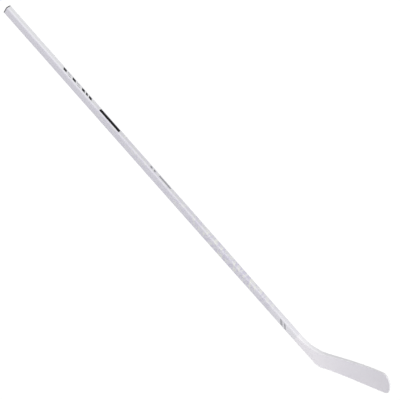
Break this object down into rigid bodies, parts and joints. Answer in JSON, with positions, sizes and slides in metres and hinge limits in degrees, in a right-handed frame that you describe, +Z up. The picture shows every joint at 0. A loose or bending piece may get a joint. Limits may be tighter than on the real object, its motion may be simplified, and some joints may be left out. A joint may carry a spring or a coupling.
{
  "type": "ice hockey stick",
  "caption": "One-piece composite ice hockey stick in white lacquer: a hollow rectangular shaft, a curved foam-cored blade and a black butt cap that pulls out.",
  "frame": {"origin": "middle of the flat stretch of the sole, where the blade stands on the ice", "axes": "+X along the blade from heel to toe, +Z up, -Y the forehand side that the blade curves towards; the shaft rises towards -X at 45 degrees"},
  "size_m": [1.3808, 0.0665, 1.0973],
  "materials": {
    "white_lacquer": "semi-gloss white lacquer over carbon composite",
    "black_cap": "fine moulded texture",
    "carbon_laminate": "woven carbon, as cured",
    "light_foam": "closed-cell foam",
    "dense_foam": "dense closed-cell foam",
    "adhesive": "cured epoxy",
    "black_ink": "printed film under clear lacquer"
  },
  "bodies": {
    "stick": {"shaft_tube": "white_lacquer", "seam_filler": "white_lacquer", "tenon_shell": "carbon_laminate", "tenon_core": "light_foam", "tenon_adhesive": "adhesive", "shaft_stopper": "light_foam", "printed_bar": "black_ink", "hosel_shell": "white_lacquer", "heel_core": "dense_foam", "forehand_skin": "white_lacquer", "backhand_skin": "white_lacquer", "lower_core": "light_foam", "bridge_rib": "carbon_laminate", "upper_core": "light_foam", "toe_core": "dense_foam", "sole_edge": "white_lacquer", "top_edge": "white_lacquer", "toe_edge": "white_lacquer"},
    "cap": {"butt_cap": "black_cap"}
  },
  "joints": [
    {"name": "cap_pull", "type": "slide", "parent": "stick", "child": "cap", "axis": [-0.7071, 0, 0.7071], "range_m": [0, 0.04]}
  ]
}
